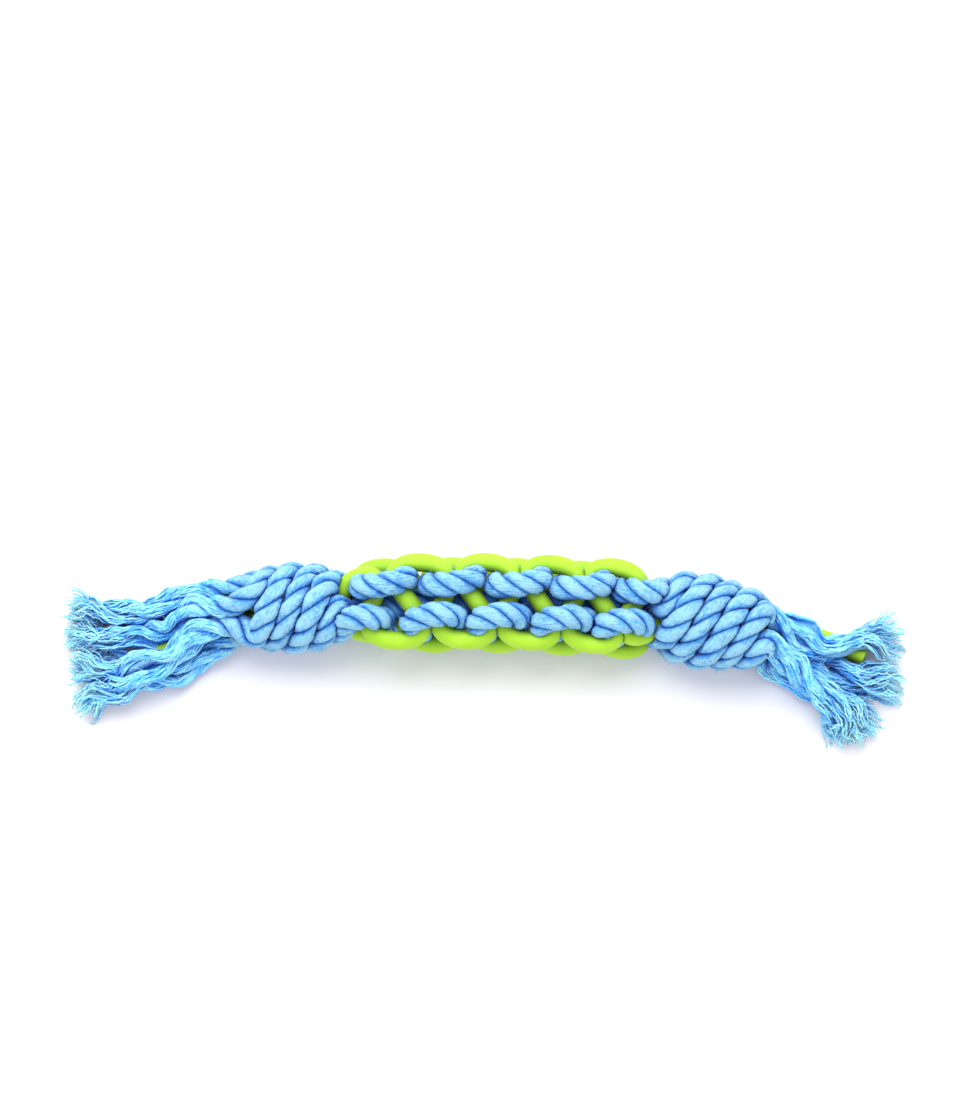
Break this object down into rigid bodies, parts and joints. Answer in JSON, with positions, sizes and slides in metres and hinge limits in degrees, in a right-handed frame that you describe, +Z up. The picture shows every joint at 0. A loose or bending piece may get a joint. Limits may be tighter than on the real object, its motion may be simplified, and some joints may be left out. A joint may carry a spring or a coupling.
{
  "type": "rope dog toy",
  "caption": "Chew toy woven from light blue cotton rope and solid green rubber rod, with a wrapped barrel knot at each end and spread rope tails past the knots.",
  "frame": {"origin": "on the ground, under the middle of the whole toy with its tails", "axes": "+X along the toy from its left tail to its right tail, +Y across it to the far side, +Z up"},
  "size_m": [0.3552, 0.0798, 0.0419],
  "materials": {
    "cotton_rope": "soft three-ply cotton rope, dyed light blue, slightly fuzzy, frayed at its ends",
    "rubber_rod": "smooth satin solid rubber, lime green"
  },
  "bodies": {
    "root": {"far_sinnet_rope": "cotton_rope", "near_sinnet_rope": "cotton_rope", "upper_heart_rope": "cotton_rope", "lower_heart_rope": "cotton_rope", "upper_rod": "rubber_rod", "lower_rod": "rubber_rod", "left_tail_of_far_sinnet_rope": "cotton_rope", "left_tail_of_near_sinnet_rope": "cotton_rope", "left_tail_of_upper_heart_rope": "cotton_rope", "left_tail_of_lower_heart_rope": "cotton_rope", "right_tail_of_far_sinnet_rope": "cotton_rope", "right_tail_of_near_sinnet_rope": "cotton_rope", "right_tail_of_upper_heart_rope": "cotton_rope", "right_tail_of_lower_heart_rope": "cotton_rope"}
  },
  "joints": []
}
